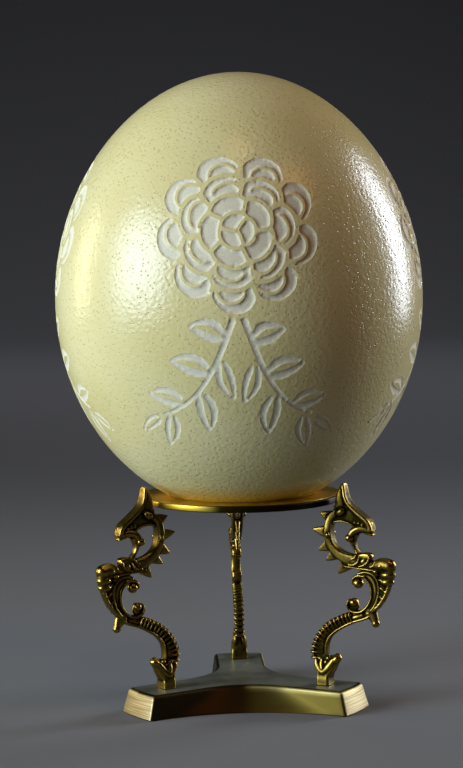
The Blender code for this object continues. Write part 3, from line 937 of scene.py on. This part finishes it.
wax = [
    bar(CREST, [0.6, 0.65, 0.75, 0.8, 0.8], [1.75, 2.25, 2.35, 2.35, 2.2], boxy=0.4),
    bar([(38.4, 70.4), (38.2, 72.6), (38.5, 75.0), (39.1, 77.6)], [2.2, 1.9, 1.7, 1.0], [1.7, 1.5], boxy=0.7),
    bar([(41.0, 70.4), (38.8, 70.3), (36.9, 70.0)], 1.35, 1.55, boxy=0.8),
    bar(WEB, [1.7, 2.1, 2.4, 2.5, 2.3, 1.9], [1.6, 1.5, 1.45], boxy=0.5),
    bar(WEB_RIDGE, 0.5, [1.95, 1.8], boxy=0.8),
    bar(SPINE, [1.5, 1.35, 1.3, 1.4, 1.9, 2.2], [1.8, 2.1, 2.5, 2.1, 1.9, 1.8], boxy=0.5),
]
wax += [ball((34.2, 61.0), (0.75, 0.65, 0.9), aside) for aside in (-2.7, 2.7)]
wax += [thorn(*blade) for blade in THORNS]
for aside in (-1.5, 1.5):
    wax += [
        ball((44.0, 65.6), (0.62, 0.5, 0.55), aside),
        ball((45.4, 65.4), (0.62, 0.5, 0.55), aside),
        ball((46.8, 65.0), (0.62, 0.5, 0.5), aside),
        ball((38.9, 69.1), (1.9, 1.3, 1.25), aside * 1.25, 30.0),
    ]
print("bars and balls in the neck:", len(wax))

# %% Head and curl
CURL = [(49.0, 63.0), (47.2, 63.5), (45.2, 63.4), (43.4, 62.5), (42.2, 60.8)]
STEM = [(43.2, 61.6), (42.7, 60.0), (42.9, 58.2), (43.6, 56.5), (44.7, 54.8)]
wax.append(bar(CURL, [1.1, 1.7, 1.7, 1.4], [1.5, 1.4, 1.7]))
for side in (-1.0, 1.0):
    wax.append(bar(CURL, [0.95, 1.15, 1.1], [0.8, 0.9, 0.85], (side * 1.2, side * 2.1)))
    wax.append(ball((42.1, 60.3), (1.4, 1.25, 1.35), side * 2.2))
wax += [
    ball((48.9, 64.4), (1.3, 2.0, 2.0)),
    ball((49.2, 62.7), (1.3, 1.7, 1.4)),
    bar([(47.4, 62.3), (50.0, 61.6)], [0.7, 0.5], 1.75),
    bar(STEM, [1.7, 1.5, 1.0, 0.75, 0.9], [2.3, 2.0, 1.4, 1.5]),
]
print("with the head:", len(wax))

# %% Body and shoulder
BELLY = [(40.2, 51.8), (44.0, 51.7), (48.0, 51.1), (52.0, 50.7), (54.6, 50.4)]
PETALS = [
    [(41.6, 50.9), (43.4, 51.0), (44.9, 52.0), (45.5, 53.4)],
    [(45.4, 50.6), (47.2, 51.1), (48.7, 52.4), (49.3, 53.9)],
    [(42.6, 52.9), (43.8, 53.5), (44.4, 54.5)],
    [(49.6, 50.6), (50.9, 51.3), (51.5, 52.7)],
]
wax += [
    bar(BELLY, [1.4, 1.8, 1.8, 2.1], [1.5, 1.5, 1.7, 1.9], boxy=0.8),
    bar([(44.8, 53.5), (46.8, 53.9), (48.7, 53.9)], [1.1, 1.4, 1.4], [1.6, 1.8], boxy=0.5),
    bar([(39.8, 50.3), (44.0, 49.9), (48.0, 49.7), (52.0, 49.4)], [0.4, 0.55], [1.7, 1.9]),
]
for side in (-1.0, 1.0):
    wax += [bar(petal, [0.3, 0.42, 0.3], 0.45, side * 1.6) for petal in PETALS]
    wax += [
        ball((43.2, 52.2), (1.0, 0.4, 0.7), side * 1.5, 40.0),
        ball((47.0, 52.4), (1.1, 0.45, 0.8), side * 1.65, 45.0),
        ball((53.4, 51.2), (0.85, 0.6, 0.85), side * 1.95),
        ball((51.6, 49.2), (0.9, 0.45, 0.6), side * 1.8),
    ]
wax += [
    bar([(51.6, 51.2), (53.8, 51.5), (56.0, 51.2)], [2.0, 2.4, 2.4], [2.0, 2.4, 2.5]),
    bar([(55.9, 51.6), (55.9, 48.6), (55.3, 45.4)], [2.0, 2.1, 1.8], [2.2, 2.0, 1.7], boxy=0.8),
    ball((55.6, 48.2), (2.7, 2.4, 1.6)),
    ball((55.3, 45.7), (2.5, 2.1, 1.4)),
]
print("with the body:", len(wax))

# %% Scrolls and leaf
OUTER_SCROLL = [(44.8, 48.0), (47.6, 48.6), (50.2, 47.9), (52.0, 45.9), (52.5, 43.2), (52.2, 40.4),
                (51.1, 37.6), (49.6, 35.6)]
INNER_SCROLL = [(44.0, 46.8), (45.8, 47.0), (47.9, 46.0), (49.4, 44.0), (49.8, 41.4), (49.2, 38.7),
                (47.7, 36.4), (45.7, 34.9), (43.4, 34.6), (41.5, 35.3), (40.7, 36.9), (41.2, 38.5)]
BETWEEN = [(45.6, 47.8), (48.2, 47.4), (50.4, 45.4), (51.1, 42.2), (50.6, 39.2), (49.4, 36.8), (47.8, 35.0)]
LEAF_BACK = [(54.4, 48.0), (54.2, 44.4), (53.2, 41.2), (51.7, 38.3), (49.9, 35.8)]
LEAF_EDGE = [(56.2, 45.8), (55.8, 43.6), (54.7, 41.0), (53.2, 38.6), (51.5, 36.6), (49.9, 35.2)]
VEINS = [
    [(52.9, 46.4), (54.6, 45.7), (56.3, 43.9)],
    [(53.2, 43.6), (54.4, 42.8), (55.3, 41.2)],
    [(52.8, 40.9), (53.6, 40.0), (54.0, 38.8)],
    [(51.7, 38.4), (52.2, 37.6), (52.4, 36.8)],
]
wax += [
    bar(OUTER_SCROLL, [0.5, 0.65, 0.6], [1.5, 1.7]),
    bar(INNER_SCROLL, [0.65, 0.7, 0.65, 0.5], [1.5, 1.7, 1.75]),
    bar(BETWEEN, 1.1, 1.2),
    bar([(46.6, 49.4), (51.0, 48.2)], [1.2, 1.6], 1.3),
    ball((44.5, 44.6), (1.85, 1.95, 1.85)),
    bar([(47.2, 47.2), (44.8, 47.3), (43.0, 46.2), (42.6, 44.6)], [0.65, 0.55], [1.7, 1.6]),
    ball((42.9, 37.8), (1.6, 1.95, 1.6)),
    ball((43.0, 36.8), (1.8, 1.1, 1.8)),
    bar(LEAF_BACK, [2.0, 1.9, 1.2], 1.25),
    bar(LEAF_EDGE, [0.7, 0.6], 1.6, boxy=0.8),
]
wax += [bar(vein, [0.55, 0.5, 0.4], [1.5, 1.6, 1.4]) for vein in VEINS]
wax += [
    ball((48.6, 34.4), (1.7, 1.6, 1.5)),
    bar([(48.9, 35.2), (50.0, 33.2), (50.9, 31.3)], [2.3, 1.8, 1.2], [1.5, 1.3]),
    ball((50.9, 31.1), (1.4, 1.5, 1.4)),
]
print("with the scrolls and the leaf:", len(wax))

# %% Tail: core, rim and ribs
TAIL_CORE = [(46.0, 33.6), (42.4, 32.2), (39.0, 30.7), (35.8, 28.8), (33.2, 26.7), (31.4, 24.2), (30.4, 21.6),
             (30.2, 18.8), (30.4, 16.4)]
TAIL_RIM = [(49.2, 33.6), (46.4, 32.4), (43.2, 31.3), (40.1, 29.9), (37.1, 28.2), (35.0, 26.6), (33.6, 24.9),
            (32.8, 23.0), (32.5, 21.0), (32.5, 19.0)]
TAIL_BACK = [(41.6, 33.6), (39.2, 32.7), (36.5, 31.4), (34.0, 29.9), (31.9, 28.1), (30.3, 26.1), (29.0, 24.0),
             (28.1, 21.9), (27.8, 20.0), (28.0, 17.8)]
RIBS = 14
OUTWARD = (-1.0, 0.6)
wax += [
    bar(TAIL_CORE, [1.1, 1.3, 1.7, 2.0, 2.0], [1.25, 1.2, 1.25]),
    bar(TAIL_RIM, [0.6, 0.55], [1.55, 1.65, 1.7]),
    bar(TAIL_BACK, [0.7, 0.75], [1.3, 1.5]),
]
back_line, _ = smooth_path(TAIL_BACK)
back_heading = headings(back_line)
for share in np.linspace(0.0, 1.0, RIBS) ** 1.12:
    at = int(round(share * (len(back_line) - 1)))
    outward = np.array([back_heading[at, 1], -back_heading[at, 0]])
    outward *= -1.0 if outward @ OUTWARD < 0.0 else 1.0
    rib = [back_line[at] + reach * outward for reach in (-2.2, -0.4, 0.55 + 0.3 * share)]
    wax.append(bar(rib, [0.42, 0.52 + 0.06 * share, 0.5 + 0.1 * share], [1.7, 2.0, 1.75], boxy=0.9))
print("with the tail:", len(wax))

# %% Foot: shank and leaf cup
SHANK = [(31.7, 8.42), (31.7, 11.0), (31.7, 13.8), (31.6, 16.2), (31.4, 18.0)]
# line and half-widths of the small leaves on each side of the cup
CUP_LEAVES = [
    ([(31.4, 13.2), (30.2, 14.1), (29.3, 15.5), (29.0, 16.8)], [1.0, 1.25, 0.8]),
    ([(31.5, 14.4), (31.1, 15.8), (31.2, 17.3)], [0.7, 0.85, 0.6]),
    ([(31.9, 13.2), (33.2, 14.3), (34.4, 15.9), (35.2, 17.2)], [1.0, 1.3, 0.9]),
]
BERRIES = [(32.6, 16.5), (33.4, 17.9), (30.4, 17.6)]
wax.append(bar(SHANK, [2.4, 2.4, 2.1, 1.7, 1.3], [2.95, 2.95, 2.3, 1.6, 1.3], boxy=0.3, flat_start=True))
for side in (-1.0, 1.0):
    wax += [bar(petal, half, [0.9, 0.75], (side * 2.1, side * 1.3)) for petal, half in CUP_LEAVES]
    wax += [ball(berry, (0.85, 0.8, 0.75), side * 1.2, 35.0) for berry in BERRIES]
    wax.append(ball((36.1, 17.5), (1.9, 1.2, 1.25), side * 0.8, 50.0))
wax += [
    bar([(33.2, 15.0), (34.8, 16.8), (36.4, 18.4)], [2.0, 1.9, 1.3], [2.1, 1.6, 1.2]),
    bar([(33.4, 12.4), (34.5, 14.8), (36.2, 17.6)], [1.2, 1.5, 1.1], [2.6, 2.2, 1.3], boxy=0.7),
    bar([(30.5, 9.4), (30.2, 12.0), (29.7, 14.4), (29.4, 16.4)], [1.1, 1.1, 0.9], [2.85, 2.75, 2.55, 1.9]),
    bar([(31.8, 13.4), (31.5, 15.5), (31.4, 17.6)], [1.5, 2.3, 2.4], [2.7, 2.2, 1.4]),
    ball((36.7, 18.0), (1.3, 1.4, 1.15)),
]
print("with the foot:", len(wax))

# %% [markdown]
# ## Legs: one skin
# The bars still pass through one another. The voxel remesh keeps only their common outer skin, as melting
# wax does, and two light smoothing passes round the joins. How hollow each place is (its distance below a
# heavily smoothed copy of itself) is stored at each point, and tells the material where patina stays.

# %% Melt, smooth and measure the casting
VOXEL = 0.2 * MM
ROUNDING_PASSES, ROUNDING_SHARE = 2, 0.4
HOLLOW_PASSES = 24


def neighbour_average(points, edges, counts):
    """Mean of the points joined to each point by an edge."""
    a, b = edges.T
    total = [np.bincount(a, p[b], len(p)) + np.bincount(b, p[a], len(p)) for p in points.T]
    return np.stack(total, axis=-1) / counts[:, None]


def melt(parts):
    """One watertight skin round all the parts, and how far each point lies inside its smoothed shape."""
    starts = np.cumsum([0] + [len(points) for points, _ in parts])
    points = np.concatenate([points for points, _ in parts])
    faces = np.concatenate([faces + start for (_, faces), start in zip(parts, starts)])
    guide = new_object("bars", new_mesh("bars", points, faces))
    remesh = guide.modifiers.new("melt", "REMESH")
    remesh.mode = "VOXEL"
    remesh.voxel_size = VOXEL
    graph = bpy.context.evaluated_depsgraph_get()
    skin = bpy.data.meshes.new_from_object(guide.evaluated_get(graph))
    bpy.data.objects.remove(guide)

    count = len(skin.vertices)
    coordinates, normals = np.empty(count * 3), np.empty(count * 3)
    skin.vertices.foreach_get("co", coordinates)
    coordinates = coordinates.reshape(-1, 3) / MM
    edges = edge_ends(skin)
    counts = np.bincount(edges.reshape(-1), minlength=count).clip(1)
    for _ in range(ROUNDING_PASSES):
        coordinates += ROUNDING_SHARE * (neighbour_average(coordinates, edges, counts) - coordinates)
    skin.vertices.foreach_set("co", (coordinates * MM).reshape(-1))
    skin.update()
    skin.vertices.foreach_get("normal", normals)
    smoothed = coordinates
    for _ in range(HOLLOW_PASSES):
        smoothed = neighbour_average(smoothed, edges, counts)
    hollow = np.sum((smoothed - coordinates) * normals.reshape(-1, 3), axis=1)
    faces = [list(polygon.vertices) for polygon in skin.polygons]
    bpy.data.meshes.remove(skin)
    return coordinates, faces, hollow


leg_points, leg_faces, leg_hollow = melt(wax)
print("casting:", len(leg_points), "points; hollow up to", leg_hollow.max().round(2), "mm")
print("its box, mm:", leg_points.min(axis=0).round(1), leg_points.max(axis=0).round(1))

# %% Cast brass
CAST_GRAIN = 2.38 * MM


def cast_brass():
    """Cast, burnished brass: bright on the ridges, dark olive patina in the hollows."""
    brass = new_material("cast brass with patina")
    place = add(brass, "TexCoord", out="Object")
    hollow = add(brass, "Attribute", attribute_name="hollow", out="Fac")
    cloud = add(brass, "TexNoise", {"Vector": place, "Scale": 1.0 / CAST_GRAIN, "Detail": 4.0})
    uneven = add(brass, "Math", {0: cloud, 1: 0.22, 2: hollow}, operation="MULTIPLY_ADD")
    dark = add(brass, "MapRange", {"Value": uneven, "From Min": -0.02, "From Max": 0.23}, **SMOOTH)
    tinted = {"Factor": dark, COLOUR_A: linear("#967C34"), COLOUR_B: linear("#1F1A08")}
    look = {
        "Base Color": add(brass, "Mix", tinted, **COLOURS),
        "Metallic": 1.0,
        "Roughness": add(brass, "MapRange", {"Value": dark, "To Min": 0.26, "To Max": 0.58}),
        "Normal": add(brass, "Bump", {"Height": cloud, "Strength": 0.35, "Distance": 0.08 * MM}),
    }
    add(brass, "OutputMaterial", {"Surface": add(brass, "BsdfPrincipled", look)})
    return brass


# %% Stand the three legs
# turn about the axis, in degrees, and how much painted shade darkens that casting beyond its patina
LEGS = {"leg_left": (210.0, 0.0), "leg_right": (330.0, 0.05), "leg_back": (90.0, 0.06)}
leg_brass = cast_brass()
for node, (degrees, darker) in LEGS.items():
    stood = leg_points.copy()
    stood[:, :2] = rotate(leg_points[:, :2], degrees)
    leg_mesh = new_mesh("cast " + node, stood, leg_faces, {"hollow": leg_hollow + darker})
    new_piece("cast_" + node, leg_mesh, leg_brass, node)
